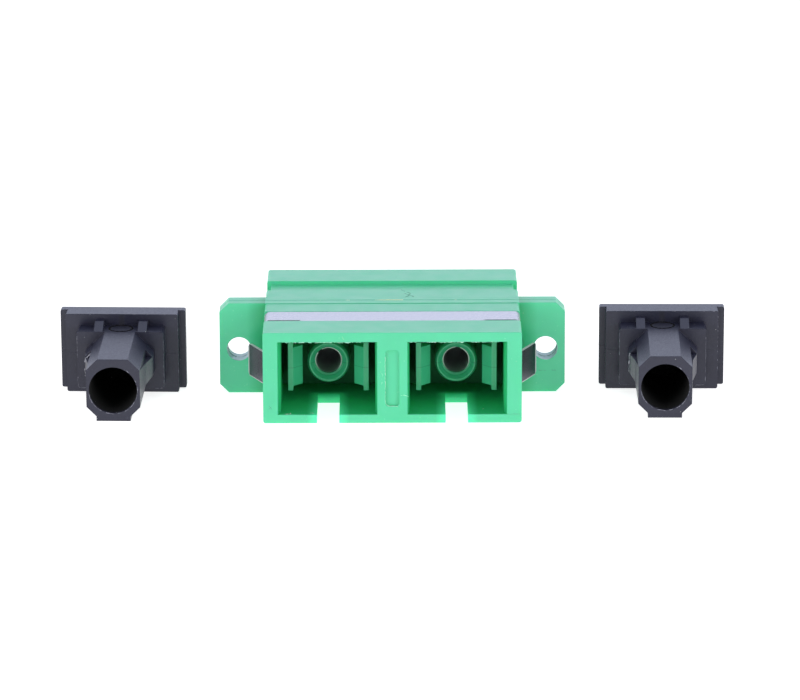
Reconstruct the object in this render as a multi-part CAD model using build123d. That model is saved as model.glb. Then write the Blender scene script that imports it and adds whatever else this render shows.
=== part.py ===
from build123d import *
import math
import os

# Duplex push-pull fibre optic adapter with a screw flange, a spring panel clip and two
# dust caps lying beside it. Millimetres. X runs across the two ports, Y runs through
# them with the front ports facing -Y, and Z is up. The origin is the middle of the two
# screw holes, on the welded seam between the two housing halves.

# Housing halves
half_length = 12.7            # port face to seam
port_pitch = 12.7
port_width = 9.35
port_height = 7.4
port_outer_flare = 0.3        # widening at the port mouth, towards the housing's side
port_inner_flare = 0.2        # and towards the wall between the ports
port_flare_depth = 1.0
outer_wall = 1.725
bottom_wall = 0.85
top_wall = 0.95
body_edge_radius = 0.25
keyway_width = 2.2            # slot in the floor of each port
keyway_length = 7.4
keyway_end_radius = 0.5       # its inner end is rounded over onto the port's floor
face_recess_width = 1.36      # shallow panel between the two ports
face_recess_height = 5.7
face_recess_depth = 0.25
face_recess_radius = 0.35

# Flange, shared half and half between the two mouldings
flange_half_thickness = 1.25
flange_ear = 4.6
flange_step = 0.05            # how far the flange stands above the body
flange_corner = 0.9
seam_bevel = 0.08
screw_offset = 2.65           # screw axis from the body's side, 30.8 apart in all
screw_hole_diameter = 2.4
peg_diameter = 1.0            # locating peg and socket below each screw hole
peg_length = 0.7
peg_drop = 2.9
peg_clearance = 0.04

# Panel clip and its groove
collar_length = 4.7           # port face to groove
groove_width = 3.7
groove_depth = 0.4
groove_wrap = 1.4             # how far the groove runs in under each bottom corner
groove_floor_radius = 0.1
clip_thickness = 0.3
clip_side_gap = 0.05
clip_seat_gap = 0.08
clip_foot_gap = 0.25
clip_relief_length = 3.2      # shallow notches in the strip's front edge
clip_relief_depth = 0.3
barb_rail = 0.6
barb_height = 3.25
barb_length = 4.2
barb_angle = 24.0
barb_drop = 0.45
barb_window_gap = 0.15
barb_corner = 0.3

# Latch inserts, two back to back in each port
plate_thickness = 1.0
plate_ledge_side = 0.475      # how far the plate overlaps the port's step
plate_ledge_top = 0.25
plate_corner_radius = 0.3
plate_gap = 0.05
plate_seat_gap = 0.02
arm_tip_depth = 4.5           # port face to arm tip
arm_span = 8.0
arm_height = 4.9
arm_tip_thickness = 0.5
arm_root_thickness = 0.7
hook_reach = 0.925            # how far each hook stands in from its arm
hook_height = 3.95
hook_ramp = 1.0
hook_land = 0.25
hook_back = 0.35
core_window_width = 0.6
core_window_gap = 0.12
holder_wall = 0.425
holder_nose_chamfer = 0.175
holder_nose_length = 0.3
lip_clearance = 0.16          # the lip's radius over the sleeve's bore
lip_land = 0.1
funnel_length = 0.45
funnel_opening = 0.39

# Split sleeves
sleeve_bore = 2.5
sleeve_wall = 0.35
sleeve_length = 11.4
sleeve_slot = 0.5
sleeve_float = 0.2            # end play each way
sleeve_radial_gap = 0.075
sleeve_edge = 0.08
left_slot_angle = -42.0       # turn of each slot away from straight up, seen from the front
right_slot_angle = 8.0

# Dust caps, drawn from the plate's lower front edge. They plug into the ports, so their
# main sizes are gaps to the housing and to the sleeve holder.
cap_neighbour_gap = 0.1       # between two caps plugged in side by side
cap_plate_inset = 0.5         # plate's edge below the housing's top and above its bottom
cap_step = 0.65               # each end of the rear plate beyond the front plate
cap_front_plate = 1.4
cap_rear_plate = 0.95
cap_edge_radius = 0.2
cap_side_play = 0.325         # each side of the block in the port
cap_height_play = 0.4         # ribs, block and foot together in the port's height
cap_block_length = 2.2
cap_block_drop = 1.15         # block top below the plate top
cap_block_rise = 1.1          # block bottom above the plate bottom
cap_block_edge = 0.2
cap_rib_width = 0.9
cap_rib_offset = 2.2
cap_rib_land = 0.56           # level top at the plate, before the rib ramps down to the block's edge
cap_root = 0.5                # how far block and ribs are rooted in the front plate
cap_end_play = 0.8            # tube's end to the latch plate
cap_tube_width = 5.32
cap_tube_corner = 1.15        # upper corners
cap_tube_low_corner = 1.0
cap_foot_width = 3.38
cap_foot_height = 0.45
cap_bore_clearance = 0.29     # round the sleeve holder
cap_bore_floor = 0.5          # bottom of the bore to the plate
cap_wing_crest = 4.14         # plate face to the widest part of the side wings
cap_wing_break = 6.5
cap_wing_reach = 0.71
cap_wing_height = 2.0
cap_wing_break_reach = 0.22
cap_wing_break_height = 2.2
cap_pocket_gap = 0.06         # pocket behind each wing, round the wing's own section

# Where the caps lie on the table: gap beside the flange, Y of the plate's lower front
# edge, and turn in degrees
left_cap_gap = 3.48
left_cap_y = -0.78
left_cap_turn = -2.25
right_cap_gap = 3.49
right_cap_y = -0.23
right_cap_turn = -0.95

# Worked out from the sizes above
body_width = port_pitch + port_width + 2 * outer_wall
body_height = port_height + bottom_wall + top_wall
body_bottom = -port_height / 2 - bottom_wall
body_top = port_height / 2 + top_wall
body_middle = (body_top + body_bottom) / 2
flange_width = body_width + 2 * flange_ear
flange_height = body_height + flange_step
flange_middle = body_bottom + flange_height / 2
screw_x = body_width / 2 + screw_offset
groove_front = -half_length + collar_length
groove_rear = groove_front + groove_width
floor_width = body_width - 2 * groove_depth
floor_height = body_height - 2 * groove_depth
plate_width = port_width + 2 * plate_ledge_side
plate_height = port_height + 2 * plate_ledge_top
sleeve_diameter = sleeve_bore + 2 * sleeve_wall
chamber_radius = sleeve_diameter / 2 + sleeve_radial_gap
chamber_end = sleeve_length / 2 + sleeve_float
holder_radius = chamber_radius + holder_wall
holder_end = chamber_end + lip_land + funnel_length
lip_radius = sleeve_bore / 2 + lip_clearance
arm_tip = half_length - arm_tip_depth
cap_width = port_pitch - cap_neighbour_gap
cap_height = body_height - 2 * cap_plate_inset
cap_block_width = port_width - 2 * cap_side_play
cap_block_top = cap_height - cap_block_drop
cap_block_height = cap_block_top - cap_block_rise
cap_rib_height = port_height - cap_height_play - cap_block_height - cap_foot_height
cap_tube_length = half_length - plate_thickness - cap_end_play
cap_foot_bottom = cap_block_rise - cap_foot_height
cap_bore_radius = holder_radius + cap_bore_clearance
overshoot = 1.0               # how far cutting tools run past the surfaces that they cut


def along_y(section, y_start, y_end):
    """Extrude a section drawn in X and Z between two Y stations."""
    plane = Plane(origin=(0, y_end, 0), x_dir=(1, 0, 0), z_dir=(0, -1, 0))
    return extrude(plane * section, y_end - y_start)


def along_z(points, z_start, z_end):
    """Extrude an outline drawn in X and Y between two heights."""
    outline = make_face(Polyline(*points, close=True))
    return Pos(0, 0, z_start) * extrude(outline, z_end - z_start, dir=(0, 0, 1))


def block(x_range, y_range, z_range):
    """A box between two corners."""
    size = [high - low for low, high in (x_range, y_range, z_range)]
    centre = [(high + low) / 2 for low, high in (x_range, y_range, z_range)]
    return Pos(*centre) * Box(*size)


def turned(points):
    """Revolve a half profile of (radius, y) points about the Y axis."""
    return revolve(make_face(Polyline(*points, close=True)), Axis.Y)


def keyway_cut(x):
    """Slot in a port's floor, from the port face to its rounded inner end."""
    end = -half_length + keyway_length
    crown = end + keyway_end_radius
    floor = -port_height / 2
    low = body_bottom - overshoot
    front = -half_length - overshoot
    sides = Polyline((crown, floor), (crown, 0), (front, 0), (front, low), (end, low),
                     (end, floor - keyway_end_radius))
    rounding = CenterArc((crown, floor - keyway_end_radius), keyway_end_radius, 90, 90)
    profile = Plane.YZ * make_face([sides, rounding])
    return Pos(x - keyway_width / 2, 0, 0) * extrude(profile, keyway_width)


def port_cut(x):
    """One port: straight bore, flared side walls, latch plate pocket and keyway."""
    half = port_width / 2
    bore = along_y(Pos(x, 0) * Rectangle(port_width, port_height), -half_length - overshoot, 0)
    flare_start = -half_length - overshoot
    flare_growth = 1 + overshoot / port_flare_depth
    outwards = math.copysign(1, x)
    outer = x + outwards * (half + port_outer_flare * flare_growth)
    inner = x - outwards * (half + port_inner_flare * flare_growth)
    flare_end = -half_length + port_flare_depth
    flare = along_z(
        [(inner, flare_start), (outer, flare_start), (x + outwards * half, flare_end),
         (x - outwards * half, flare_end)],
        -port_height / 2, port_height / 2)
    pocket_section = RectangleRounded(plate_width + 2 * plate_gap, plate_height + 2 * plate_gap,
                                      plate_corner_radius)
    pocket = along_y(Pos(x, 0) * pocket_section, -plate_thickness - plate_seat_gap, overshoot)
    return bore + flare + pocket + keyway_cut(x)


def groove_cut():
    """Clip groove over the top, down both sides and in under the bottom corners."""
    around = Pos(0, body_middle) * Rectangle(body_width + 2 * overshoot, body_height + 2 * overshoot)
    floor = Pos(0, body_middle) * RectangleRounded(floor_width, floor_height, groove_floor_radius)
    ring = along_y(around - floor, groove_front, groove_rear)
    kept = body_width / 2 - groove_wrap
    land = block((-kept, kept), (groove_front, groove_rear), (body_bottom - 2 * overshoot, body_middle))
    return ring - land


def housing_half():
    """Front moulding. The rear one is the same moulding turned about Z."""
    body_section = Pos(0, body_middle) * RectangleRounded(body_width, body_height, body_edge_radius)
    body = along_y(body_section, -half_length, 0)
    plain_flange = Pos(0, flange_middle) * Rectangle(flange_width, flange_height)
    flange_section = chamfer(plain_flange.vertices(), flange_corner)
    flange = along_y(flange_section, -flange_half_thickness, 0)
    flange = chamfer(flange.faces().sort_by(Axis.Y)[-1].edges(), seam_bevel)
    housing = body + flange
    for side in (-1, 1):
        housing -= port_cut(side * port_pitch / 2)
        screw_hole = Pos(side * screw_x, 0) * Circle(screw_hole_diameter / 2)
        housing -= along_y(screw_hole, -flange_half_thickness - overshoot, overshoot)
    housing -= groove_cut()
    recess = RectangleRounded(face_recess_width, face_recess_height, face_recess_radius)
    housing -= along_y(recess, -half_length - overshoot, -half_length + face_recess_depth)
    peg = Pos(screw_x, -peg_drop) * Circle(peg_diameter / 2)
    housing += along_y(peg, -flange_half_thickness / 2, peg_length)
    socket = Pos(-screw_x, -peg_drop) * Circle(peg_diameter / 2 + peg_clearance)
    housing -= along_y(socket, -peg_length - peg_clearance, overshoot)
    return housing


def latch_arm(side):
    """One flexible arm with its inward hook."""
    outer = arm_span / 2
    tip_inner = outer - arm_tip_thickness
    root_inner = outer - arm_root_thickness
    root = -plate_thickness / 2
    arm = along_z(
        [(side * outer, root), (side * outer, -arm_tip), (side * tip_inner, -arm_tip), (side * root_inner, root)],
        -arm_height / 2, arm_height / 2)
    crest = tip_inner - hook_reach
    ramp_end = -arm_tip + hook_ramp
    buried = outer - arm_tip_thickness / 2
    hook = along_z(
        [(side * buried, -arm_tip), (side * tip_inner, -arm_tip), (side * crest, ramp_end),
         (side * crest, ramp_end + hook_land), (side * tip_inner, ramp_end + hook_land + hook_back),
         (side * buried, ramp_end + hook_land + hook_back)],
        -hook_height / 2, hook_height / 2)
    return arm + hook


def latch_insert():
    """Base plate with the sleeve holder and two hooked arms, pointing to -Y."""
    plate = along_y(RectangleRounded(plate_width, plate_height, plate_corner_radius), -plate_thickness, 0)
    nose = holder_radius - holder_nose_chamfer
    holder = turned([(0, -plate_thickness / 2), (holder_radius, -plate_thickness / 2),
                     (holder_radius, -holder_end + holder_nose_length), (nose, -holder_end), (0, -holder_end)])
    insert = plate + holder
    for side in (-1, 1):
        insert += latch_arm(side)
        window_outer = arm_span / 2 - arm_root_thickness
        window_half = hook_height / 2 + core_window_gap
        window_x = sorted((side * window_outer, side * (window_outer - core_window_width)))
        insert -= block(window_x, (-plate_thickness - overshoot, overshoot), (-window_half, window_half))
    chamber = turned([(0, overshoot), (chamber_radius, overshoot), (chamber_radius, -chamber_end),
                      (lip_radius, -chamber_end), (lip_radius, -chamber_end - lip_land),
                      (lip_radius + funnel_opening, -holder_end), (0, -holder_end)])
    return insert - chamber


def split_sleeve(slot_angle):
    """Spring sleeve with a lengthwise slot, its axis on Y."""
    outer = sleeve_diameter / 2
    bore = sleeve_bore / 2
    end = sleeve_length / 2
    tube = turned([(bore + sleeve_edge, -end), (outer - sleeve_edge, -end), (outer, -end + sleeve_edge),
                   (outer, end - sleeve_edge), (outer - sleeve_edge, end), (bore + sleeve_edge, end),
                   (bore, end - sleeve_edge), (bore, -end + sleeve_edge)])
    slot = block((-sleeve_slot / 2, sleeve_slot / 2), (-end - overshoot, end + overshoot),
                 (0, outer + overshoot))
    return Rot(0, slot_angle, 0) * (tube - slot)


def clip_barb(side):
    """Lanced tongue that springs out from one leg and points back at the flange."""
    angle = math.radians(barb_angle)
    inner = floor_width / 2 + clip_seat_gap
    root = groove_front + clip_side_gap + barb_rail
    tip_x = inner + barb_length * math.sin(angle)
    tip_y = root + barb_length * math.cos(angle)
    mitre = clip_thickness * math.tan(angle / 2)
    middle = body_middle - barb_drop
    tongue = along_z(
        [(side * inner, root - barb_rail / 2), (side * inner, root), (side * tip_x, tip_y),
         (side * (tip_x + clip_thickness * math.cos(angle)), tip_y - clip_thickness * math.sin(angle)),
         (side * (inner + clip_thickness), root - mitre),
         (side * (inner + clip_thickness), root - barb_rail / 2)],
        middle - barb_height / 2, middle + barb_height / 2)
    tip_edges = tongue.edges().filter_by(lambda edge: abs(edge.center().Y - tip_y) < clip_thickness)
    corners = tip_edges.filter_by(lambda edge: abs(edge.center().Z - middle) > barb_height / 2 - barb_corner)
    return chamfer(corners, barb_corner)


def panel_clip():
    """One bent strip of spring steel: bridge, two legs with barbs, and two feet."""
    front = groove_front + clip_side_gap
    rear = groove_rear - clip_side_gap
    inner_width = floor_width + 2 * clip_seat_gap
    inner_height = floor_height + 2 * clip_seat_gap
    inner_radius = groove_floor_radius + clip_seat_gap
    outer_section = RectangleRounded(inner_width + 2 * clip_thickness, inner_height + 2 * clip_thickness,
                                     inner_radius + clip_thickness)
    inner_section = RectangleRounded(inner_width, inner_height, inner_radius)
    clip = along_y(Pos(0, body_middle) * (outer_section - inner_section), front, rear)
    foot_end = body_width / 2 - groove_wrap + clip_foot_gap
    clip -= block((-foot_end, foot_end), (front - overshoot, rear + overshoot),
                  (body_bottom - overshoot, body_middle))
    middle = body_middle - barb_drop
    window_half = barb_height / 2 + barb_window_gap
    for side in (-1, 1):
        leg = sorted((side * (inner_width / 2 - overshoot), side * (inner_width / 2 + overshoot)))
        clip -= block(leg, (front + barb_rail, rear + overshoot), (middle - window_half, middle + window_half))
        notch_end = body_width / 2 - groove_depth
        notch = sorted((side * notch_end, side * (notch_end - clip_relief_length)))
        clip -= block(notch, (front - overshoot, front + clip_relief_depth), (body_middle, body_top))
    for side in (-1, 1):
        clip += clip_barb(side)
    return clip


def wing_section(y, reach, height, middle):
    """Rectangle across one side of the cap's tube, for the wing's loft."""
    plane = Plane(origin=(0, y, 0), x_dir=(1, 0, 0), z_dir=(0, -1, 0))
    inner = cap_tube_width / 4
    outer = cap_tube_width / 2 + reach
    return plane * (Pos((inner + outer) / 2, middle) * Rectangle(outer - inner, height))


def cap_wing():
    """Wedge along the tube's right side, widest at its crest."""
    middle = cap_block_rise + cap_block_height / 2
    flat = cap_block_height - 2 * cap_tube_corner
    nose = wing_section(-cap_tube_length, 0, flat, middle)
    bend = wing_section(-cap_wing_break, cap_wing_break_reach, cap_wing_break_height, middle)
    crest = wing_section(-cap_wing_crest, cap_wing_reach, cap_wing_height, middle)
    return loft([nose, bend], ruled=True) + loft([bend, crest], ruled=True)


def wing_pocket(side):
    """Blind pocket through the block to the front plate, straight behind one wing."""
    middle = cap_block_rise + cap_block_height / 2
    inner = cap_tube_width / 2 + cap_pocket_gap
    outer = cap_tube_width / 2 + cap_wing_reach + cap_pocket_gap
    shoulder = cap_block_top - cap_tube_corner - cap_pocket_gap
    low = middle - cap_wing_height / 2
    high = middle + cap_wing_height / 2
    outline = Polyline((side * inner, low), (side * outer, low), (side * outer, high),
                       (side * (inner + cap_pocket_gap), shoulder), (side * inner, shoulder), close=True)
    return along_y(make_face(outline), -cap_wing_crest, 0)


def cap_rib(x):
    """Rib on top of the block, ramped so that the cap starts easily into the port."""
    top = cap_block_top + cap_rib_height
    rooted = cap_block_top - cap_root
    outline = Polyline((cap_root, rooted), (cap_root, top), (-cap_rib_land, top),
                       (-cap_block_length, cap_block_top), (-cap_block_length, rooted), close=True)
    return Pos(x - cap_rib_width / 2, 0, 0) * extrude(Plane.YZ * make_face(outline), cap_rib_width)


def dust_cap():
    """Plug cap with its tube pointing to -Y, standing on its plate's lower edge."""
    front_plate_section = RectangleRounded(cap_width - 2 * cap_step, cap_height, cap_edge_radius)
    rear_plate_section = RectangleRounded(cap_width, cap_height, cap_edge_radius)
    half_up = Pos(0, cap_height / 2)
    cap = along_y(half_up * front_plate_section, 0, cap_front_plate)
    cap += along_y(half_up * rear_plate_section, cap_front_plate, cap_front_plate + cap_rear_plate)
    middle = Pos(0, cap_block_rise + cap_block_height / 2)
    plug = along_y(middle * Rectangle(cap_block_width, cap_block_height), -cap_block_length, cap_root)
    cap += chamfer(plug.edges().filter_by(Axis.Y), cap_block_edge)
    tube_section = Rectangle(cap_tube_width, cap_block_height)
    tube_section = chamfer(tube_section.vertices().group_by(Axis.Y)[-1], cap_tube_corner)
    tube_section = chamfer(tube_section.vertices().group_by(Axis.Y)[0], cap_tube_low_corner)
    cap += along_y(middle * tube_section, -cap_tube_length, 0)
    wing = cap_wing()
    cap += wing + mirror(wing, Plane.YZ)
    half_foot = cap_foot_width / 2
    cap += block((-half_foot, half_foot), (-cap_tube_length, 0), (cap_foot_bottom, cap_block_rise))
    for side in (-1, 1):
        cap += cap_rib(side * cap_rib_offset)
        cap -= wing_pocket(side)
    bore = Pos(0, (cap_foot_bottom + cap_block_top) / 2) * Circle(cap_bore_radius)
    return cap - along_y(bore, -cap_tube_length - overshoot, -cap_bore_floor)


def lying(cap, side, gap, y, turn):
    """Lay a cap on the table beside the flange: it nods down until the tube's foot touches."""
    x = side * (flange_width / 2 + gap + cap_width / 2)
    nod = math.degrees(math.atan2(cap_foot_bottom, cap_tube_length))
    return Pos(x, y, body_bottom) * Rot(0, 0, turn) * Rot(nod, 0, 0) * cap


front_housing = housing_half()
insert = latch_insert()
cap = dust_cap()
about = Rot(0, 0, 180)
left = Pos(-port_pitch / 2, 0, 0)
right = Pos(port_pitch / 2, 0, 0)

nodes = {
    "front_housing": front_housing,
    "rear_housing": about * front_housing,
    "left_front_latch": left * insert,
    "left_rear_latch": left * about * insert,
    "right_front_latch": right * insert,
    "right_rear_latch": right * about * insert,
    "left_sleeve": left * split_sleeve(left_slot_angle),
    "right_sleeve": right * split_sleeve(right_slot_angle),
    "panel_clip": panel_clip(),
    "left_dust_cap": lying(cap, -1, left_cap_gap, left_cap_y, left_cap_turn),
    "right_dust_cap": lying(cap, 1, right_cap_gap, right_cap_y, right_cap_turn),
}

os.makedirs("parts", exist_ok=True)
for name, shape in nodes.items():
    export_step(shape, "parts/" + name + ".step")
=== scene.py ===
import math

import bmesh
import bpy
from mathutils import Euler, Matrix, Vector


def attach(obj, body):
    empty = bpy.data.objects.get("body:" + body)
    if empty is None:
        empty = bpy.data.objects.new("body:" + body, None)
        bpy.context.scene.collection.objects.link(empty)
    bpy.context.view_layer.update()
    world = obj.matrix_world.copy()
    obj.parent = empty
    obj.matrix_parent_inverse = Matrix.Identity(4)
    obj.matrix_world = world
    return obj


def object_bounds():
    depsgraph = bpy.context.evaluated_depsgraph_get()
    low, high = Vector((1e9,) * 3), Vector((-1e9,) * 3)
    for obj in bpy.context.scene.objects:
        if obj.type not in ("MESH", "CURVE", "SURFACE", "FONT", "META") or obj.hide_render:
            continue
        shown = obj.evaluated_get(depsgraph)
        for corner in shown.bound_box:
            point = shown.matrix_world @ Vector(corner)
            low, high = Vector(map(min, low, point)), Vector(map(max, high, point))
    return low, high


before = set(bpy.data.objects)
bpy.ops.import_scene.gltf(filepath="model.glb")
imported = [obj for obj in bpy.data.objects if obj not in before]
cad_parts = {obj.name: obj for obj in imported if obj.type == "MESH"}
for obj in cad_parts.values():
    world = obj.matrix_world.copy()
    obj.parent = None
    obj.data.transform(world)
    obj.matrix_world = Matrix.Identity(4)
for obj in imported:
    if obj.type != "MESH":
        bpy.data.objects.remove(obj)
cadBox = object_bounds()
mm = 0.001                       # the part's own sizes are in millimetres
print("frame loaded:", len(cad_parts), "nodes")


# node helpers

def newMaterial(name):
    material = bpy.data.materials.new(name)
    material.use_nodes = True
    tree = material.node_tree
    return material, tree, tree.nodes["Principled BSDF"]


def setInputs(node, values):
    for key, value in values.items():
        node.inputs[key].default_value = value


def addNode(tree, kind, settings=None, inputs=None):
    # settings are the node's own properties, inputs are socket values by name or number
    node = tree.nodes.new(kind)
    for key, value in (settings or {}).items():
        setattr(node, key, value)
    setInputs(node, inputs or {})
    return node


def feed(tree, value, socket):
    # a number or a colour is set on the socket, anything else is linked to it
    if isinstance(value, (int, float)):
        socket.default_value = value
    elif isinstance(value, tuple):
        socket.default_value = (*value, 1.0)
    else:
        tree.links.new(value, socket)


def mathNode(tree, operation, *values):
    node = addNode(tree, "ShaderNodeMath", {"operation": operation})
    for socket, value in zip(node.inputs, values):
        feed(tree, value, socket)
    return node.outputs[0]


def times(tree, first, second):
    return mathNode(tree, "MULTIPLY", first, second)


def minus(tree, first, second):
    return mathNode(tree, "SUBTRACT", first, second)


def sizeOf(tree, value):
    return mathNode(tree, "ABSOLUTE", value)


def below(tree, value, limit):
    # 1 below the limit, 0 elsewhere
    return mathNode(tree, "LESS_THAN", value, limit)


def above(tree, value, limit):
    return mathNode(tree, "GREATER_THAN", value, limit)


def rise(tree, value, start, end):
    # 0 up to start, 1 from end on
    node = addNode(tree, "ShaderNodeMapRange", None, {"From Min": start, "From Max": end})
    tree.links.new(value, node.inputs["Value"])
    return node.outputs[0]


def noise(tree, coords, size, detail=2.0, roughness=0.5):
    # size is how large one patch is, in metres
    node = addNode(tree, "ShaderNodeTexNoise", None,
                   {"Scale": 1 / size, "Detail": detail, "Roughness": roughness})
    tree.links.new(coords, node.inputs["Vector"])
    return node.outputs["Fac"]


def drawnNoise(tree, coords, stretch, size, detail=2.0, roughness=0.5):
    # noise drawn out along one axis, as on rolled metal
    mapping = addNode(tree, "ShaderNodeMapping", None, {"Scale": stretch})
    tree.links.new(coords, mapping.inputs["Vector"])
    return noise(tree, mapping.outputs["Vector"], size, detail, roughness)


def ramp(tree, factor, low, high, span=(0.3, 0.7)):
    # low colour up to the start of the span, high colour from its end on, as linear RGB
    node = addNode(tree, "ShaderNodeValToRGB")
    for element, place, colour in zip(node.color_ramp.elements, span, (low, high)):
        element.position = place
        element.color = (*colour, 1.0)
    tree.links.new(factor, node.inputs["Fac"])
    return node.outputs["Color"]


def grey(level):
    return (level, level, level)


def greyRamp(tree, factor, levels, span=(0.3, 0.7)):
    return ramp(tree, factor, grey(levels[0]), grey(levels[1]), span)


def mixColour(tree, factor, first, second, blend="MIX"):
    node = addNode(tree, "ShaderNodeMix", {"data_type": "RGBA", "blend_type": blend})
    for key, value in (("Factor", factor), (6, first), (7, second)):
        feed(tree, value, node.inputs[key])
    return node.outputs[2]


def stain(tree, mask, look, colour):
    # the look's own colour over the given one, where the mask is
    return mixColour(tree, times(tree, mask, look["share"]), colour, look["colour"])


def objectCoords(tree):
    return addNode(tree, "ShaderNodeTexCoord").outputs["Object"]


def splitXyz(tree, coords):
    split = addNode(tree, "ShaderNodeSeparateXYZ")
    tree.links.new(coords, split.inputs[0])
    return split.outputs


def radiusFrom(tree, across, up, centreAcross=0.0, centreUp=0.0):
    # distance from an axis along Y that has a twin on the other side of the middle
    aside = minus(tree, sizeOf(tree, across), centreAcross)
    over = minus(tree, up, centreUp)
    squares = mathNode(tree, "ADD", times(tree, aside, aside), times(tree, over, over))
    return mathNode(tree, "SQRT", squares)


bumpLook = {"depth": 0.02 * mm, "edgeSamples": 4}


def roundedBump(tree, shader, height, strength, edgeRadius):
    # soft edges from the Bevel node, with the fine surface bump on top
    edge = addNode(tree, "ShaderNodeBevel", {"samples": bumpLook["edgeSamples"]}, {"Radius": edgeRadius})
    bump = addNode(tree, "ShaderNodeBump", None, {"Strength": strength, "Distance": bumpLook["depth"]})
    tree.links.new(edge.outputs["Normal"], bump.inputs["Normal"])
    tree.links.new(height, bump.inputs["Height"])
    tree.links.new(bump.outputs["Normal"], shader.inputs["Normal"])


def mottled(tree, coords, look):
    # worn patches, with pale specks over them
    patches = ramp(tree, noise(tree, coords, look["patch"], detail=3.0), look["worn"], look["colour"])
    specks = greyRamp(tree, noise(tree, coords, look["speckSize"], detail=1.0),
                      (0, look["speckShare"]), look["speckSpan"])
    return mixColour(tree, specks, patches, look["speck"])


# green plastic of the housing and its inserts

plasticIor = 1.5
housingLook = {"colour": (0.101, 0.693, 0.386), "worn": (0.090, 0.660, 0.362), "patch": 3.0 * mm,
               "speck": (0.30, 0.86, 0.58), "speckSize": 0.22 * mm, "speckShare": 0.6,
               # the inside colour and the two depths after it are painted shade, darker deeper in the ports
               "speckSpan": (0.74, 0.80), "inside": (0.012, 0.500, 0.170),
               "paintedShadeAt": (-0.01 * mm, 0.28 * mm), "insideRougher": 0.25,
               "roughness": (0.32, 0.41), "specular": 0.6, "glow": 0.35,
               "grain": 0.12 * mm, "bump": 0.25, "edge": 0.10 * mm}
latchLook = {"colour": (0.056, 0.490, 0.260), "worn": (0.047, 0.455, 0.240), "patch": 1.5 * mm,
             "speck": (0.16, 0.60, 0.38), "speckSize": 0.2 * mm, "speckShare": 0.6,
             # the inside colour and the two depths after it are painted shade, darker deeper in the ports
             "speckSpan": (0.74, 0.80), "inside": (0.006, 0.260, 0.090),
             "paintedShadeAt": (6.4 * mm, 11.0 * mm), "insideRougher": 0.25,
             "roughness": (0.34, 0.43), "specular": 0.6, "glow": 0.15,
             "grain": 0.10 * mm, "bump": 0.2, "edge": 0.05 * mm}
glowReach = {"radius": (0.25, 1.0, 0.45), "scale": 0.8 * mm}      # how far light bleeds through it
port = {"x": 6.35 * mm, "halfWidth": 4.99 * mm, "halfHeight": 3.73 * mm, "mouth": 12.67 * mm}
# painted shade: darker, greener flange next to the body
paintedFlangeShade = {"reach": (14.6 * mm, 12.8 * mm), "bodySide": 12.76 * mm, "halfThick": 1.3 * mm,
              "share": 0.80, "colour": (0.014, 0.430, 0.160)}
# painted glow: brighter green round the keyway ends, standing in for light through the thin floor
paintedKeywayGlow = {"aside": (2.1 * mm, 1.12 * mm), "along": (4.0 * mm, 5.0 * mm), "floor": -3.6 * mm,
          "share": 0.95, "colour": (0.110, 1.000, 0.540)}
# the hole's place and radius also set its seam; within that radius its colour is painted sheen on the walls
screwHoleAndSheen = {"x": 15.4 * mm, "radius": 1.2 * mm, "within": 1.23 * mm, "colour": (0.36, 0.56, 0.58),
             "seamDegrees": range(190, 361, 10)}
weldSeam = {"axis": 1, "at": 0.0, "halfWidth": 0.055 * mm, "share": 0.5, "colour": (0.02, 0.22, 0.12)}
latchSeam = {"axis": 2, "at": -0.12 * mm, "halfWidth": 0.03 * mm, "share": 0.45,
             "colour": (0.02, 0.16, 0.08)}


def paintedPortShade(tree, coords, depths):
    # painted shade inside the ports: 0 outside them and down to the first depth, 1 from the second depth
    # inwards
    x, y, z = splitXyz(tree, coords)
    aside = sizeOf(tree, minus(tree, sizeOf(tree, x), port["x"]))
    within = times(tree, below(tree, aside, port["halfWidth"]),
                   below(tree, sizeOf(tree, z), port["halfHeight"]))
    depth = minus(tree, port["mouth"], sizeOf(tree, y))
    return times(tree, within, rise(tree, depth, *depths))


def seamed(tree, coords, colour, seam):
    # thin dark line across one axis
    offset = sizeOf(tree, minus(tree, splitXyz(tree, coords)[seam["axis"]], seam["at"]))
    return stain(tree, below(tree, offset, seam["halfWidth"]), seam, colour)


def housingMarks(tree, coords, colour):
    # painted shade, darker and greener on the flange beside the body; painted glow, light through
    # the thin floor round the keyways; painted sheen, pale walls in the screw holes; dark welded seam
    x, y, z = splitXyz(tree, coords)
    reach, along = sizeOf(tree, x), sizeOf(tree, y)
    # painted shade on the flange beside the body
    rootShade = times(tree, rise(tree, reach, *paintedFlangeShade["reach"]), below(tree, along, paintedFlangeShade["halfThick"]))
    rootShade = times(tree, rootShade, above(tree, reach, paintedFlangeShade["bodySide"]))
    colour = stain(tree, rootShade, paintedFlangeShade, colour)
    # painted glow round the keyway ends
    aside = sizeOf(tree, minus(tree, reach, port["x"]))
    lit = times(tree, rise(tree, aside, *paintedKeywayGlow["aside"]), rise(tree, along, *paintedKeywayGlow["along"]))
    lit = times(tree, lit, below(tree, z, paintedKeywayGlow["floor"]))
    colour = stain(tree, lit, paintedKeywayGlow, colour)
    # painted sheen on the screw hole walls
    paintedHoleSheen = below(tree, radiusFrom(tree, x, z, screwHoleAndSheen["x"]), screwHoleAndSheen["within"])
    colour = mixColour(tree, paintedHoleSheen, colour, screwHoleAndSheen["colour"])
    return seamed(tree, coords, colour, weldSeam)


def latchMarks(tree, coords, colour):
    return seamed(tree, coords, colour, latchSeam)


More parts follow.
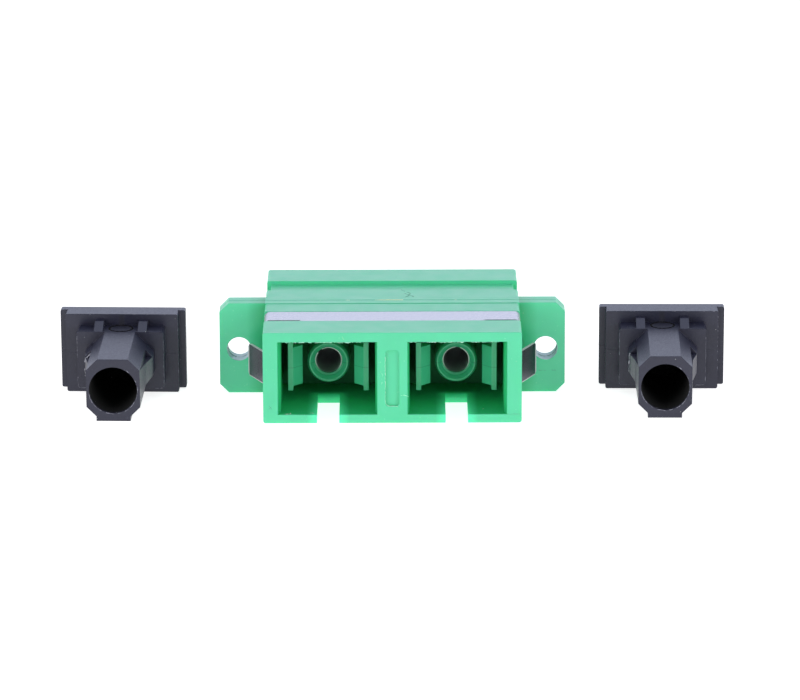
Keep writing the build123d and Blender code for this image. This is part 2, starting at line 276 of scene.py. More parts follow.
def greenPlastic(name, look, marks):
    material, tree, shader = newMaterial(name)
    coords = objectCoords(tree)
    # painted shade: the colour turns to the darker inside colour deeper in the ports
    shade = paintedPortShade(tree, coords, look["paintedShadeAt"])
    colour = mixColour(tree, shade, mottled(tree, coords, look), look["inside"])
    tree.links.new(marks(tree, coords, colour), shader.inputs["Base Color"])
    rough = greyRamp(tree, noise(tree, coords, look["patch"] / 2), look["roughness"])
    rough = mathNode(tree, "ADD", rough, times(tree, shade, look["insideRougher"]))
    tree.links.new(rough, shader.inputs["Roughness"])
    setInputs(shader, {"IOR": plasticIor, "Specular IOR Level": look["specular"],
                       "Subsurface Weight": look["glow"], "Subsurface Radius": glowReach["radius"],
                       "Subsurface Scale": glowReach["scale"]})
    roundedBump(tree, shader, noise(tree, coords, look["grain"]), look["bump"], look["edge"])
    return material


# dark plastic of the caps

# a cap's own sizes in millimetres, standing upright with the lower front edge of its plate at zero
cap = {"foot": 0.65, "mouth": -10.9, "boreUp": 3.85, "boreWithin": 2.42, "boreEdge": 2.43,
       "boreDark": -10.4, "boreFloor": -0.48, "frontHalf": 5.65, "rearHalf": 6.3, "blockHalf": 4.35,
       "middle": 4.075, "blockFront": -2.2, "rearStep": 1.4, "back": 2.35}
# plain oval on top of the block, its ring given as shares of its half axes
capOval = {"half": (1.18, 1.02), "middle": -1.1, "up": 7.05, "from": 7.0, "outer": (1.12, 1.02),
           "inner": (0.82, 0.92), "insideShare": 0.3, "steps": 28}
# where each cap lies: place in millimetres and turn in degrees; both nod onto the tube's foot
capPlaces = {"left": {"x": -27.13, "y": -0.78, "turn": -2.25},
             "right": {"x": 27.14, "y": -0.23, "turn": -0.95}}
capLook = {"colour": (0.0195, 0.0210, 0.0430), "worn": (0.0160, 0.0170, 0.0360), "patch": 2.0 * mm,
           "speck": (0.10, 0.10, 0.16), "speckSize": 0.16 * mm, "speckShare": 0.35,
           # the bore colour is painted shade inside the tube's bore
           "speckSpan": (0.70, 0.80), "bore": (0.003, 0.004, 0.004), "mark": (0.006, 0.006, 0.008),
           "roughness": (0.28, 0.44), "hollowRougher": 0.7, "specular": 0.50,
           "grain": 0.17 * mm, "bump": 0.75, "edge": 0.08 * mm}


def capOrigin(side):
    return (capPlaces[side]["x"] * mm, capPlaces[side]["y"] * mm, cadBox[0].z)


def capTurn(side):
    return (math.atan2(cap["foot"], -cap["mouth"]), 0.0, math.radians(capPlaces[side]["turn"]))


def capFrame(side):
    # from a cap's own upright frame to where it lies
    return Matrix.Translation(capOrigin(side)) @ Euler(capTurn(side)).to_matrix().to_4x4()


def ovalMask(tree, x, y, z):
    # 1 on the oval's rim, weaker inside it, 0 elsewhere
    across, along = capOval["half"]
    ovalX = mathNode(tree, "DIVIDE", x, across * mm)
    ovalY = mathNode(tree, "DIVIDE", minus(tree, y, capOval["middle"] * mm), along * mm)
    reach = radiusFrom(tree, ovalX, ovalY)
    inside = capOval["insideShare"]
    rim = mathNode(tree, "ADD", times(tree, rise(tree, reach, *capOval["inner"]), 1 - inside), inside)
    top = above(tree, z, capOval["from"] * mm)
    return times(tree, times(tree, rise(tree, reach, *capOval["outer"]), top), rim)


def capPlastic(side):
    material, tree, shader = newMaterial(side + "CapPlastic")
    coords = objectCoords(tree)
    upright = addNode(tree, "ShaderNodeMapping", {"vector_type": "TEXTURE"},
                      {"Location": capOrigin(side), "Rotation": capTurn(side)})
    tree.links.new(coords, upright.inputs["Vector"])
    x, y, z = splitXyz(tree, upright.outputs["Vector"])
    # painted shade: darker inside the tube's bore, from just within its mouth to its floor
    bore = below(tree, radiusFrom(tree, x, z, 0.0, cap["boreUp"] * mm), cap["boreWithin"] * mm)
    bore = times(tree, bore, rise(tree, y, cap["mouth"] * mm, cap["boreDark"] * mm))
    bore = times(tree, bore, below(tree, y, cap["boreFloor"] * mm))
    oval = ovalMask(tree, x, y, z)
    colour = mixColour(tree, oval, mottled(tree, coords, capLook), capLook["mark"])
    tree.links.new(mixColour(tree, bore, colour, capLook["bore"]), shader.inputs["Base Color"])
    grain = noise(tree, coords, capLook["grain"], detail=3.0, roughness=0.65)
    hollow = times(tree, mathNode(tree, "MAXIMUM", bore, oval), capLook["hollowRougher"])
    rough = mathNode(tree, "ADD", greyRamp(tree, grain, capLook["roughness"]), hollow)
    tree.links.new(rough, shader.inputs["Roughness"])
    setInputs(shader, {"IOR": plasticIor, "Specular IOR Level": capLook["specular"]})
    roundedBump(tree, shader, grain, capLook["bump"], capLook["edge"])
    return material


# spring steel of the panel clip

# the dull colour is painted dark reflection on the lanced legs
clipLook = {"bright": (0.435, 0.425, 0.450), "legDarkReflection": (0.130, 0.110, 0.152),
            "legAt": (12.35 * mm, 12.7 * mm), "tipAt": 14.31 * mm, "legLow": -1.95 * mm,
            "legHigh": 1.21 * mm, "streaks": (0.86, 1.0), "stretch": (0.08, 1.0, 1.0),
            "grain": 0.05 * mm, "roughness": (0.22, 0.34), "bump": 0.12, "edge": 0.05 * mm}
# painted highlight: pale, less metallic edges and tips of the lanced legs
paintedEdgeHighlight = {"share": 0.8, "colour": (0.78, 0.78, 0.80), "lessMetal": 0.9}


def clipSteel():
    # rolled strip, brushed along X; painted dark reflection on the lanced legs, and painted highlight, pale
    # and less metallic, on their edges and tips
    material, tree, shader = newMaterial("clipSteel")
    coords = objectCoords(tree)
    brushed = drawnNoise(tree, coords, clipLook["stretch"], clipLook["grain"], detail=3.0, roughness=0.6)
    x, _, z = splitXyz(tree, coords)
    reach = sizeOf(tree, x)
    leg = rise(tree, reach, *clipLook["legAt"])
    edges = mathNode(tree, "ADD", below(tree, z, clipLook["legLow"]),
                     times(tree, above(tree, z, clipLook["legHigh"]), leg))
    edges = mathNode(tree, "MAXIMUM", times(tree, edges, leg), above(tree, reach, clipLook["tipAt"]))
    # painted dark reflection on the legs, painted highlight on their edges and tips
    base = stain(tree, edges, paintedEdgeHighlight, mixColour(tree, leg, clipLook["bright"], clipLook["legDarkReflection"]))
    streaks = greyRamp(tree, brushed, clipLook["streaks"])
    tree.links.new(mixColour(tree, 1.0, base, streaks, "MULTIPLY"), shader.inputs["Base Color"])
    metal = minus(tree, 1.0, times(tree, edges, paintedEdgeHighlight["lessMetal"]))
    tree.links.new(metal, shader.inputs["Metallic"])
    tree.links.new(greyRamp(tree, brushed, clipLook["roughness"]), shader.inputs["Roughness"])
    roundedBump(tree, shader, brushed, clipLook["bump"], clipLook["edge"])
    return material


# plating of the split sleeves

sleeveLook = {"metal": (0.72, 0.72, 0.71), "stain": (0.40, 0.41, 0.40), "stainSpan": (0.3, 0.6),
              # the bore colour is painted shade; the rim colour is painted highlight on the cut ends,
              # turning to painted shade towards their bottom
              "bore": (0.300, 0.320, 0.320), "boreRadius": 1.262 * mm, "rim": (1.0, 1.0, 1.0),
              "rimAt": 5.61 * mm, "paintedRimShade": (0.08, 0.22, 0.15), "rimShadeAt": (-0.4 * mm, -1.1 * mm),
              "stretch": (1.0, 0.06, 1.0), "grain": 0.06 * mm, "roughness": (0.30, 0.22),
              "bump": 0.1, "edge": 0.03 * mm}


def sleeveMetal():
    # rolled and plated, with faint lengthwise draw marks; painted shade, a darker non-metal grey, in the
    # bore; painted highlight, white, on the cut ends, with painted shade darker and greener towards their
    # bottom
    material, tree, shader = newMaterial("sleeveMetal")
    coords = objectCoords(tree)
    drawn = drawnNoise(tree, coords, sleeveLook["stretch"], sleeveLook["grain"])
    plating = ramp(tree, drawn, sleeveLook["stain"], sleeveLook["metal"], sleeveLook["stainSpan"])
    x, y, z = splitXyz(tree, coords)
    # painted shade in the bore; painted highlight on the cut ends, darker and greener towards their bottom
    bore = below(tree, radiusFrom(tree, x, z, port["x"]), sleeveLook["boreRadius"])
    rim = above(tree, sizeOf(tree, y), sleeveLook["rimAt"])
    rimHighlightAndShade = mixColour(tree, rise(tree, z, *sleeveLook["rimShadeAt"]), sleeveLook["rim"], sleeveLook["paintedRimShade"])
    colour = mixColour(tree, rim, mixColour(tree, bore, plating, sleeveLook["bore"]), rimHighlightAndShade)
    tree.links.new(colour, shader.inputs["Base Color"])
    metal = minus(tree, 1.0, mathNode(tree, "MAXIMUM", bore, rim))
    tree.links.new(metal, shader.inputs["Metallic"])
    setInputs(shader, {"Specular IOR Level": 0.0})
    tree.links.new(greyRamp(tree, drawn, sleeveLook["roughness"]), shader.inputs["Roughness"])
    roundedBump(tree, shader, drawn, sleeveLook["bump"], sleeveLook["edge"])
    return material


def dress(nodeName, material):
    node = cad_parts[nodeName]
    node.data.materials.clear()
    node.data.materials.append(material)


housingGreen = greenPlastic("housingGreen", housingLook, housingMarks)
latchGreen = greenPlastic("latchGreen", latchLook, latchMarks)
capDark = {side: capPlastic(side) for side in capPlaces}
steel = clipSteel()
plated = sleeveMetal()
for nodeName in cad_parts:
    if nodeName.endswith("housing"):
        dress(nodeName, housingGreen)
    elif nodeName.endswith("latch"):
        dress(nodeName, latchGreen)
    elif nodeName.endswith("cap"):
        dress(nodeName, capDark[nodeName.split("_")[0]])
    elif nodeName.endswith("sleeve"):
        dress(nodeName, plated)
    else:
        dress(nodeName, steel)
print("materials:", len(bpy.data.materials))


# small marks of moulding, welding and handling, made by geometry nodes

markLooks = {                    # light and dark colour, patch in mm, roughness, specular level
    "flashPale": ((0.86, 1.00, 0.93), (0.34, 0.88, 0.64), 0.4, 0.45, 0.5),
    "flashMouth": ((0.70, 1.00, 0.86), (0.28, 0.86, 0.60), 0.4, 0.5, 0.5),
    "flashGreen": ((0.50, 0.96, 0.74), (0.15, 0.76, 0.46), 0.4, 0.45, 0.5),
    "flashYellow": ((0.72, 0.92, 0.60), (0.40, 0.78, 0.48), 0.5, 0.5, 0.5),
    "ridgePale": ((0.90, 1.00, 0.62), (0.78, 0.95, 0.55), 0.5, 0.5, 0.5),
    "scuffDark": ((0.10, 0.34, 0.22), (0.05, 0.20, 0.12), 0.3, 0.6, 0.5),
    # real burrs, whose pale colour is painted highlight
    "burrWithHighlight": ((0.50, 0.50, 0.56), (0.20, 0.21, 0.25), 0.3, 0.45, 0.5),
    "capRidge": ((0.055, 0.058, 0.085), (0.018, 0.020, 0.030), 0.8, 0.5, 0.5),
    "ovalDark": ((0.010, 0.010, 0.013), (0.004, 0.004, 0.005), 0.3, 0.95, 0.1),
    "capEdge": ((0.36, 0.37, 0.45), (0.08, 0.085, 0.12), 0.5, 0.5, 0.5),
    "dustPale": ((0.75, 0.78, 0.76), (0.40, 0.46, 0.44), 0.2, 0.7, 0.5),
}
markBlotch = {"span": (0.35, 0.65), "bump": 0.2, "edge": 0.01 * mm}


def markMaterial(name, light, dark, patch, roughness, specular):
    material, tree, shader = newMaterial(name)
    blotches = noise(tree, objectCoords(tree), patch * mm)
    tree.links.new(ramp(tree, blotches, dark, light, markBlotch["span"]), shader.inputs["Base Color"])
    setInputs(shader, {"Roughness": roughness, "Specular IOR Level": specular})
    roundedBump(tree, shader, blotches, markBlotch["bump"], markBlotch["edge"])
    return material


markMaterials = {name: markMaterial(name, *look) for name, look in markLooks.items()}


def newNodeTree(name, sockets):
    # sockets are (label, kind) pairs, after the piece's own mesh
    tree = bpy.data.node_groups.new(name, "GeometryNodeTree")
    for flow in ("INPUT", "OUTPUT"):
        tree.interface.new_socket("Geometry", in_out=flow, socket_type="NodeSocketGeometry")
    for label, kind in sockets:
        tree.interface.new_socket(label, in_out="INPUT", socket_type="NodeSocket" + kind)
    return tree, addNode(tree, "NodeGroupInput").outputs, addNode(tree, "NodeGroupOutput").inputs


def linkAll(tree, pairs):
    for source, socket in pairs:
        tree.links.new(source, socket)


def outputOf(node, kind):
    return [socket for socket in node.outputs if socket.type == kind][0]


def finishTree(tree, geometry, given, result):
    # plain mesh out, in the material that was given
    real = addNode(tree, "GeometryNodeRealizeInstances")
    shaded = addNode(tree, "GeometryNodeSetShadeSmooth")
    coloured = addNode(tree, "GeometryNodeSetMaterial")
    linkAll(tree, (
        (geometry, real.inputs["Geometry"]), (real.outputs["Geometry"], shaded.inputs["Geometry"]),
        (shaded.outputs["Geometry"], coloured.inputs["Geometry"]),
        (given["Material"], coloured.inputs["Material"]),
        (coloured.outputs["Geometry"], result["Geometry"])))


beadSides = 6
grainShape = {"Min": (0.35, 0.35, 0.2), "Max": (1.3, 1.0, 0.5)}      # share of the grain's radius


def raggedBeadTree():
    # a bead along each path of the mesh, uneven in thickness and in line
    tree, given, result = newNodeTree("raggedBead", [
        ("Radius", "Float"), ("Thinnest", "Float"), ("Wander", "Float"), ("Step", "Float"),
        ("Seed", "Int"), ("Material", "Material")])
    path = addNode(tree, "GeometryNodeMeshToCurve")
    steps = addNode(tree, "GeometryNodeResampleCurve", {"mode": "LENGTH"})
    shake = addNode(tree, "FunctionNodeRandomValue", {"data_type": "FLOAT_VECTOR"},
                    {"Min": (-1, -1, -1), "Max": (1, 1, 1)})
    shift = addNode(tree, "ShaderNodeVectorMath", {"operation": "SCALE"})
    moved = addNode(tree, "GeometryNodeSetPosition")
    section = addNode(tree, "GeometryNodeCurvePrimitiveCircle", None, {"Resolution": beadSides})
    thickness = addNode(tree, "FunctionNodeRandomValue", {"data_type": "FLOAT"})
    bead = addNode(tree, "GeometryNodeCurveToMesh", None, {"Fill Caps": True})
    limits = {socket.identifier: socket for socket in thickness.inputs}
    limits["Max_001"].default_value = 1.0
    linkAll(tree, (
        (given["Geometry"], path.inputs["Mesh"]), (path.outputs["Curve"], steps.inputs["Curve"]),
        (given["Step"], steps.inputs["Length"]), (steps.outputs["Curve"], moved.inputs["Geometry"]),
        (given["Seed"], shake.inputs["Seed"]), (outputOf(shake, "VECTOR"), shift.inputs[0]),
        (given["Wander"], shift.inputs["Scale"]), (shift.outputs["Vector"], moved.inputs["Offset"]),
        (given["Radius"], section.inputs["Radius"]),
        (moved.outputs["Geometry"], bead.inputs["Curve"]),
        (section.outputs["Curve"], bead.inputs["Profile Curve"]),
        (given["Seed"], thickness.inputs["Seed"]), (given["Thinnest"], limits["Min_001"]),
        (outputOf(thickness, "VALUE"), bead.inputs["Scale"])))
    finishTree(tree, bead.outputs["Mesh"], given, result)
    return tree


def dustTree():
    # flat grains scattered over the faces of the mesh
    tree, given, result = newNodeTree("dustGrains", [
        ("Density", "Float"), ("Grain", "Float"), ("Seed", "Int"), ("Material", "Material")])
    spread = addNode(tree, "GeometryNodeDistributePointsOnFaces")
    grain = addNode(tree, "GeometryNodeMeshIcoSphere", None, {"Subdivisions": 1})
    size = addNode(tree, "FunctionNodeRandomValue", {"data_type": "FLOAT_VECTOR"}, grainShape)
    placed = addNode(tree, "GeometryNodeInstanceOnPoints")
    linkAll(tree, (
        (given["Geometry"], spread.inputs["Mesh"]), (given["Density"], spread.inputs["Density"]),
        (given["Seed"], spread.inputs["Seed"]), (given["Seed"], size.inputs["Seed"]),
        (given["Grain"], grain.inputs["Radius"]), (spread.outputs["Points"], placed.inputs["Points"]),
        (spread.outputs["Rotation"], placed.inputs["Rotation"]),
        (outputOf(size, "VECTOR"), placed.inputs["Scale"]),
        (grain.outputs["Mesh"], placed.inputs["Instance"])))
    finishTree(tree, placed.outputs["Instances"], given, result)
    return tree


def addObject(name, data):
    thing = bpy.data.objects.new(name, data)
    bpy.context.scene.collection.objects.link(thing)
    return thing


def grow(name, mesh, tree, values, body):
    # runs a tree on a start mesh and keeps the result as one plain mesh that rides on a body
    piece = addObject(name, mesh)
    modifier = piece.modifiers.new(tree.name, "NODES")
    modifier.node_group = tree
    for item in tree.interface.items_tree:
        if item.in_out == "INPUT" and item.name in values:
            modifier[item.identifier] = values[item.name]
    bpy.context.view_layer.update()
    grown = bpy.data.meshes.new_from_object(
        piece.evaluated_get(bpy.context.evaluated_depsgraph_get()))
    piece.modifiers.clear()
    piece.data = grown
    grown.name = name
    bpy.data.meshes.remove(mesh)
    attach(piece, body)


def pathMesh(name, paths, place):
    # paths are lists of points in millimetres
    points, edges = [], []
    for path in paths:
        start = len(points)
        points += [place @ (Vector(point) * mm) for point in path]
        edges += [(start + i, start + i + 1) for i in range(len(path) - 1)]
    mesh = bpy.data.meshes.new(name)
    mesh.from_pydata(points, edges, [])
    return mesh


def shellMesh(name, nodeNames):
    # the skin of some CAD nodes, copied for grains to lie on
    points, faces = [], []
    for nodeName in nodeNames:
        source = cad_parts[nodeName].data
        start = len(points)
        points += [vertex.co.copy() for vertex in source.vertices]
        faces += [[start + i for i in face.vertices] for face in source.polygons]
    mesh = bpy.data.meshes.new(name)
    mesh.from_pydata(points, [], faces)
    return mesh


beadTree = raggedBeadTree()
grainTree = dustTree()


def growBead(name, look, body, place=Matrix()):
    values = {"Radius": look["radius"] * mm, "Thinnest": look["thinnest"],
              "Wander": look["wander"] * mm, "Step": look["step"] * mm, "Seed": look["seed"],
              "Material": markMaterials[look["material"]]}
    grow(name, pathMesh(name, look["paths"], place), beadTree, values, body)


# marks on the adapter, with sizes and points in millimetres

bodyTop = 4.65
portTop = 3.66
frontFace = -12.7                # port openings and the recess between them
flangeFace = -1.25


def level(runs, y, z):
    # short runs along X, each given by its two ends
    return [[(start, y, z), (end, y, z)] for start, end in runs]


def facing(y, *runs):
    return [[(x, y, z) for x, z in run] for run in runs]


def onTop(*runs):
    return [[(x, y, bodyTop) for x, y in run] for run in runs]


def holeSeam(hand):
    # lower half of the welded seam round a screw hole's wall
    middle, radius = hand * screwHoleAndSheen["x"] / mm, screwHoleAndSheen["radius"] / mm
    turns = [math.radians(degrees) for degrees in screwHoleAndSheen["seamDegrees"]]
    return [[(middle + radius * math.cos(turn), 0.0, radius * math.sin(turn)) for turn in turns]]


adapterMarks = {
    "portFlash": {
        "radius": 0.058, "thinnest": 0.12, "wander": 0.05, "step": 0.11, "seed": 3,
        "material": "flashMouth",
        "paths": level([(-9.2, -8.6), (-8.3, -7.9), (-7.6, -5.9), (-5.7, -4.9), (-4.7, -4.1),
                        (3.4, 4.3), (4.5, 6.2), (6.4, 7.0), (7.8, 8.6)], frontFace + 0.05, portTop)},
    "portWhiskers": {
        "radius": 0.035, "thinnest": 0.2, "wander": 0.06, "step": 0.1, "seed": 8,
        "material": "flashGreen",
        "paths": level([(-10.9, -9.4), (-3.9, -3.1), (1.7, 3.2), (8.8, 10.6)],
                       frontFace + 0.04, portTop + 0.03)},
    "weldFlash": {
        "radius": 0.07, "thinnest": 0.2, "wander": 0.05, "step": 0.16, "seed": 5,
        "material": "flashYellow",
        "paths": level([(-2.0, -1.1), (-4.6, -4.25), (-7.4, -7.15), (6.25, 6.6)], 0.0, bodyTop)},
    "weldRidge": {
        "radius": 0.06, "thinnest": 0.7, "wander": 0.012, "step": 0.2, "seed": 7,
        "material": "ridgePale", "paths": level([(-1.2, 1.1)], 0.0, bodyTop + 0.04)},
    "weldThread": {
        "radius": 0.03, "thinnest": 0.3, "wander": 0.025, "step": 0.3, "seed": 6,
        "material": "flashPale",
        "paths": level([(-12.4, -7.6), (-7.0, -4.9), (1.2, 6.0), (6.9, 12.3)], 0.0, bodyTop - 0.02)},
    "recessFlash": {
        "radius": 0.024, "thinnest": 0.2, "wander": 0.02, "step": 0.15, "seed": 11,
        "material": "flashPale",
        "paths": facing(frontFace, [(-0.70, 2.5), (-0.70, -2.5), (-0.45, -2.83), (0.5, -2.85)],
                        [(-1.02, 0.55), (-0.98, 0.1), (-1.05, -0.1)], [(-1.0, -0.35), (-1.04, -0.6)],
                        [(0.85, -1.75), (1.2, -1.72), (1.6, -1.85)])},
    "faceScratches": {
        "radius": 0.02, "thinnest": 0.3, "wander": 0.02, "step": 0.2, "seed": 12,
        "material": "scuffDark",
        "paths": facing(frontFace, [(-12.2, -3.1), (-11.9, -2.85)], [(-12.15, -2.8), (-11.85, -3.15)],
                        [(3.0, -4.2), (3.1, -4.22)], [(11.3, -3.68), (12.6, -3.68)])
        + onTop([(-10.95, 12.45), (-10.7, 12.5), (-10.55, 12.6)], [(-0.9, 12.6), (-0.2, 12.55)],
                [(0.3, 9.6), (0.42, 9.5)])},
    "faceSmudge": {
        "radius": 0.03, "thinnest": 0.3, "wander": 0.02, "step": 0.12, "seed": 18,
        "material": "flashYellow",
        "paths": facing(frontFace, [(-4.92, 4.3), (-4.85, 4.1), (-4.75, 3.95)])},
    "mouthCrumbs": {
        "radius": 0.035, "thinnest": 0.1, "wander": 0.06, "step": 0.1, "seed": 14,
        "material": "dustPale",
        "paths": [[(-10.6, -12.4, -3.66), (-10.2, -12.45, -3.67), (-10.0, -12.3, -3.66)],
                  [(-8.1, -12.1, -3.67), (-7.8, -12.2, -3.67)],
                  [(8.9, -10.9, -3.67), (9.05, -10.8, -3.67)]]},
    "flangeScuffs": {
        "radius": 0.022, "thinnest": 0.2, "wander": 0.02, "step": 0.12, "seed": 15,
        "material": "scuffDark",
        "paths": facing(flangeFace, [(14.7, -2.34), (15.6, -2.36)], [(16.05, -2.34), (16.5, -2.33)],
                        [(13.2, 0.9), (13.25, 0.2)], [(13.15, -0.3), (13.3, -0.9)],
                        [(-13.2, 3.4), (-13.1, 3.1)])},
    "holeSeams": {
        "radius": 0.035, "thinnest": 0.4, "wander": 0.015, "step": 0.12, "seed": 17,
        "material": "scuffDark", "paths": holeSeam(-1) + holeSeam(1)},
    "topHair": {
        "radius": 0.022, "thinnest": 0.4, "wander": 0.03, "step": 0.25, "seed": 16,
        "material": "scuffDark",
        "paths": onTop([(0.95, 4.2), (1.45, 3.5), (1.9, 2.6), (1.6, 1.7), (1.15, 1.3)],
                       [(1.15, 2.9), (1.75, 2.2), (2.15, 1.5)])},
}


# marks on the caps, in a cap's own upright frame

def capParting():
    # parting line at mid height, from block to block round the back of the plates
    block, front, rear = cap["blockHalf"], cap["frontHalf"], cap["rearHalf"]
    run = [(block, cap["blockFront"]), (block, 0), (front, 0), (front, cap["rearStep"]),
           (rear, cap["rearStep"]), (rear, cap["back"])]
    run += [(-x, y) for x, y in reversed(run)]
    return [[(x, y, cap["middle"]) for x, y in run]]


def cavityOval():
    # plain oval left by the mould on top of the block
    across, along = capOval["half"]
    turns = [math.tau * i / capOval["steps"] for i in range(capOval["steps"] + 1)]
    return [[(across * math.cos(turn), capOval["middle"] + along * math.sin(turn), capOval["up"])
             for turn in turns]]


def boreLip(spans, step=6):
    # ragged edge round the tube's mouth, between pairs of angles in degrees
    radius = cap["boreEdge"]
    runs = []
    for start, end in spans:
        count = max(2, int(abs(end - start) / step))
        turns = [math.radians(start + (end - start) * i / count) for i in range(count + 1)]
        runs.append([(radius * math.cos(turn), cap["mouth"], cap["boreUp"] + radius * math.sin(turn))
                     for turn in turns])
    return runs


plateFront = 0.02
rearPlateFront = 1.42
capMarks = {
    "Parting": {
        "radius": 0.03, "thinnest": 0.5, "wander": 0.008, "step": 0.3, "seed": 21,
        "material": "capRidge", "paths": capParting()},
    "Oval": {
        "radius": 0.075, "thinnest": 0.6, "wander": 0.02, "step": 0.12, "seed": 22,
        "material": "ovalDark", "paths": cavityOval()},
    "BoreLip": {
        "radius": 0.035, "thinnest": 0.1, "wander": 0.025, "step": 0.14, "seed": 24,
        "material": "capEdge",
        "paths": boreLip([(-172, -118), (-108, -88), (-80, -72), (-62, -30), (-22, 8), (14, 30),
                          (40, 62)])},
    "Edges": {
        "radius": 0.028, "thinnest": 0.1, "wander": 0.012, "step": 0.16, "seed": 23,
        "material": "capEdge",
        "paths": facing(cap["blockFront"], [(4.33, 6.2), (4.33, 1.35), (4.1, 1.12), (3.4, 1.12)],
                        [(-4.33, 6.6), (-4.33, 4.3)],
                        [(-4.33, 2.3), (-4.33, 1.3), (-4.1, 1.12), (-3.3, 1.12)])
        + facing(plateFront, [(5.62, 7.9), (5.62, 0.3)], [(-5.4, 8.17), (-2.0, 8.17)],
                 [(0.5, 8.17), (5.3, 8.17)])
        + facing(rearPlateFront, [(6.27, 7.9), (6.27, 4.2)])},
}
burrLooks = {
    "Thick": {"radius": 0.16, "thinnest": 0.45, "wander": 0.01, "step": 0.14, "seed": 31,
              "material": "burrWithHighlight"},
    "Fine": {"radius": 0.05, "thinnest": 0.45, "wander": 0.03, "step": 0.14, "seed": 31,
             "material": "burrWithHighlight"},
}
capBurrs = {
    "left": {
        "Thick": [[(-2.74, -4.3, 5.40), (-3.0, -4.42, 5.22), (-3.22, -4.55, 5.0), (-3.3, -4.75, 4.7)]],
        "Fine": [[(-3.38, -4.3, 3.9), (-3.42, -4.2, 3.55), (-3.36, -4.2, 3.3)],
                 [(-3.42, -4.2, 3.15), (-3.30, -4.3, 2.98)]]},
    "right": {
        "Thick": [[(-3.30, -4.2, 5.1), (-3.38, -4.35, 4.85)], [(-3.36, -4.3, 4.45), (-3.40, -4.3, 4.1)]],
        "Fine": [[(-3.38, -4.2, 5.0), (-3.42, -4.3, 4.3), (-3.36, -4.2, 3.7), (-3.40, -4.4, 3.3)],
                 [(-3.2, -4.9, 3.2), (-3.05, -5.6, 3.1)]]},
}
dustLooks = {
    "adapterDust": {"nodes": ["front_housing", "rear_housing"], "body": "adapter",
                    "slot": "housing", "density": 2.6e4, "grain": 0.040, "seed": 41},
    "leftCapDust": {"nodes": ["left_dust_cap"], "body": "left_cap",
                    "slot": "cap", "density": 7.0e4, "grain": 0.035, "seed": 42},
    "rightCapDust": {"nodes": ["right_dust_cap"], "body": "right_cap",
                     "slot": "cap", "density": 7.0e4, "grain": 0.035, "seed": 43},
}


# two small forms that the solids leave out

def skin(build, sections, closed):
    # quads from each outline to the next; an open run gets its two ends
    pairs = list(zip(sections, sections[1:]))
    if closed:
        pairs.append((sections[-1], sections[0]))
    else:
        build.faces.new(sections[0])
        build.faces.new(sections[-1])
    for first, second in pairs:
        for i in range(len(first)):
            j = (i + 1) % len(first)
            build.faces.new([first[i], first[j], second[j], second[i]])


def keepBuild(build, name, material, body):
    bmesh.ops.recalc_face_normals(build, faces=build.faces)
    mesh = bpy.data.meshes.new(name)
    build.to_mesh(mesh)
    build.free()
    mesh.materials.append(material)
    piece = addObject(name, mesh)
    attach(piece, body)


wingTail = {"inner": 2.62, "outer": 3.36, "low": 3.08, "high": 5.07, "shoulder": 5.80, "flat": 0.1,
            "spread": 0.075,
            "stations": [(-4.15, 0.0), (-2.9, 0.8), (-2.2, 1.0), (-0.1, 1.0)]}   # y, share of spread


def makeWingTails(side):
    # each wing runs on at its full section into the pocket in the block
    tail = wingTail
    build = bmesh.new()
    for hand in (-1, 1):
        sections = []
        for y, share in tail["stations"]:
            more = tail["spread"] * share
            inner, outer, low = tail["inner"], tail["outer"] + more, tail["low"] - more
            shoulder = tail["shoulder"] + more
            outline = [(inner, low), (outer, low), (outer, tail["high"] + more),
                       (inner + tail["flat"], shoulder), (inner, shoulder)]
            sections.append([build.verts.new((hand * x * mm, y * mm, z * mm)) for x, z in outline])
        skin(build, sections, closed=False)
    build.transform(capFrame(side))
    keepBuild(build, side + "WingTails", capDark[side], side + "_cap")


lipRing = {"radius": 1.34, "lift": 0.09, "outer": 1.44, "back": 5.93, "lip": 5.99, "front": 6.04,
           "steps": 64}


def makeLipRings():
    # narrow lip in each mouth of the sleeve holders, a little deeper at the bottom
    ring = lipRing
    corners = [(ring["radius"], ring["back"], ring["lift"]), (ring["radius"], ring["lip"], ring["lift"]),
               (ring["outer"], ring["front"], 0.0), (ring["outer"], ring["back"], 0.0)]
    build = bmesh.new()
    for hand in (-1, 1):
        for end in (-1, 1):
            sections = []
            for i in range(ring["steps"]):
                turn = math.tau * i / ring["steps"]
                sections.append([build.verts.new((
                    hand * port["x"] + radius * math.cos(turn) * mm, end * y * mm,
                    (lift + radius * math.sin(turn)) * mm)) for radius, y, lift in corners])
            skin(build, sections, closed=True)
    keepBuild(build, "sleeveLips", latchGreen, "adapter")


for name, look in adapterMarks.items():
    growBead(name, look, "adapter")
makeLipRings()
for side in capPlaces:
    for name, look in capMarks.items():
        growBead(side + "Cap" + name, look, side + "_cap", capFrame(side))
    for name, look in burrLooks.items():
        burrs = {**look, "paths": capBurrs[side][name]}
        growBead(side + "Cap" + name + "Burrs", burrs, side + "_cap", capFrame(side))
    makeWingTails(side)
for name, look in dustLooks.items():
    values = {"Density": look["density"], "Grain": look["grain"] * mm, "Seed": look["seed"],
              "Material": markMaterials["dustPale"]}
    grow(name, shellMesh(name, look["nodes"]), grainTree, values, look["body"])


# floor, world, lamps and camera

floorLook = {"colour": 0.80, "roughness": 0.9, "radius": 2.5, "gap": 0.01 * mm,
             "cameraGlow": 0.82, "glossGlow": 0.84, "bounceGlow": 0.55}
white = (1.0, 1.0, 1.0)


def lightPath(tree):
    # camera rays, rays of a sharp reflection or refraction, diffuse rays
    rays = addNode(tree, "ShaderNodeLightPath").outputs
    sharp = mathNode(tree, "MAXIMUM", rays["Is Glossy Ray"], rays["Is Transmission Ray"])
    return rays["Is Camera Ray"], sharp, rays["Is Diffuse Ray"]


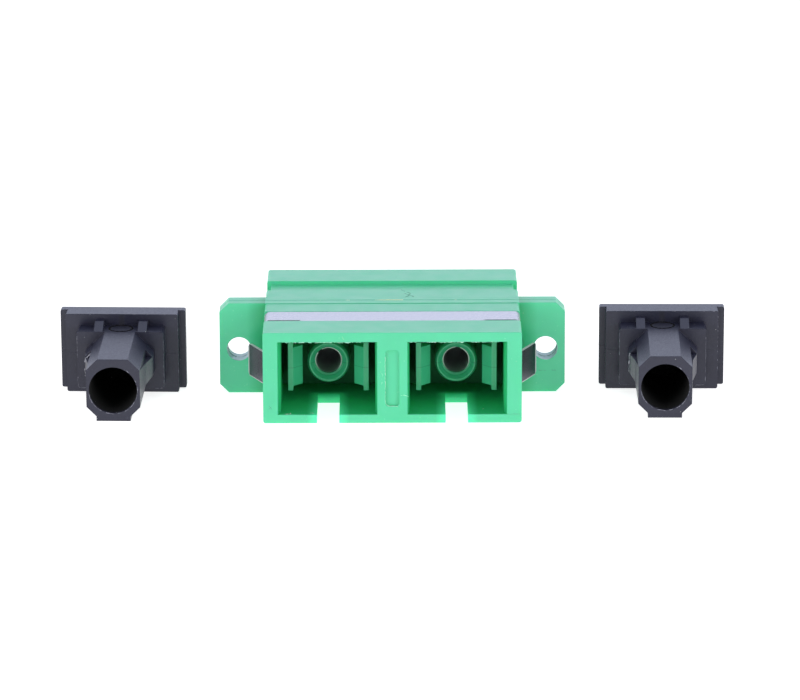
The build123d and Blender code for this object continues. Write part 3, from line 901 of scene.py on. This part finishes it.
def makeFloor():
    # white to the camera and to reflections, weaker as a light
    lowest = cadBox[0].z - floorLook["gap"]
    reach = floorLook["radius"]
    mesh = bpy.data.meshes.new("floor")
    mesh.from_pydata([(-reach, -reach, lowest), (reach, -reach, lowest), (reach, reach, lowest),
                      (-reach, reach, lowest)], [], [(0, 1, 2, 3)])
    floor = addObject("floor", mesh)
    material, tree, shader = newMaterial("floorWhite")
    setInputs(shader, {"Base Color": (*grey(floorLook["colour"]), 1.0), "Specular IOR Level": 0.0,
                       "Roughness": floorLook["roughness"], "Emission Color": (*white, 1.0)})
    seen, sharp, diffuse = lightPath(tree)
    glow = mathNode(tree, "ADD", times(tree, seen, floorLook["cameraGlow"]),
                    times(tree, sharp, floorLook["glossGlow"]))
    glow = mathNode(tree, "ADD", glow, times(tree, diffuse, floorLook["bounceGlow"]))
    tree.links.new(glow, shader.inputs["Emission Strength"])
    mesh.materials.append(material)


worldLook = {"diffuse": (0.54, 0.54, 0.57), "glossy": (0.95, 1.03, 1.28),
             "glossyFront": (0.12, 0.12, 0.13), "frontSpan": (-0.7, 0.1)}


def makeWorld():
    # white to the camera, bluish in reflections, dark in those of what is in front
    world = bpy.data.worlds.new("studio")
    bpy.context.scene.world = world
    world.use_nodes = True
    tree = world.node_tree
    seen, sharp, _ = lightPath(tree)
    back = splitXyz(tree, addNode(tree, "ShaderNodeTexCoord").outputs["Generated"])[1]
    glossy = mixColour(tree, rise(tree, back, *worldLook["frontSpan"]), worldLook["glossyFront"],
                       worldLook["glossy"])
    colour = mixColour(tree, sharp, worldLook["diffuse"], glossy)
    colour = mixColour(tree, seen, colour, white)
    tree.links.new(colour, tree.nodes["Background"].inputs["Color"])


sideLamp = {"size": (0.45, 0.45), "watts": 2.1, "colour": (1.0, 0.99, 0.98)}
lamps = {
    "leftSoftbox": {**sideLamp, "place": (-0.55, -0.43, 0.13)},
    "rightSoftbox": {**sideLamp, "place": (0.55, -0.43, 0.13)},
    "backSoftbox": {"size": (0.90, 0.45), "watts": 0.45, "colour": (0.80, 0.82, 1.0),
                    "place": (0.0, 0.70, 0.19)},
}


def makeLamp(name, look):
    # aimed at the middle of the adapter
    data = bpy.data.lights.new(name, "AREA")
    data.shape = "RECTANGLE"
    data.size, data.size_y = look["size"]
    data.energy = look["watts"]
    data.color = look["colour"]
    lamp = addObject(name, data)
    lamp.location = look["place"]
    lamp.rotation_euler = Vector(look["place"]).to_track_quat("Z", "Y").to_euler()
    lamp.visible_camera = False


cameraLook = {"place": (0.1565 * mm, -510.241 * mm, 136.511 * mm),
              "turn": (74.9674, 0.1646, -0.1138), "lens": 235.884, "sensor": 36.0,
              "clip": (0.01, 20)}


def makeCamera():
    # as fitted to the photo
    data = bpy.data.cameras.new("camera")
    data.sensor_fit = "HORIZONTAL"
    data.sensor_width = cameraLook["sensor"]
    data.lens = cameraLook["lens"]
    data.clip_start, data.clip_end = cameraLook["clip"]
    camera = addObject("camera", data)
    camera.location = cameraLook["place"]
    camera.rotation_euler = Euler([math.radians(degrees) for degrees in cameraLook["turn"]])
    bpy.context.scene.camera = camera


makeFloor()
makeWorld()
for name, look in lamps.items():
    makeLamp(name, look)
makeCamera()
bpy.context.scene.view_settings.view_transform = "Standard"
print("floor, lights and camera made")
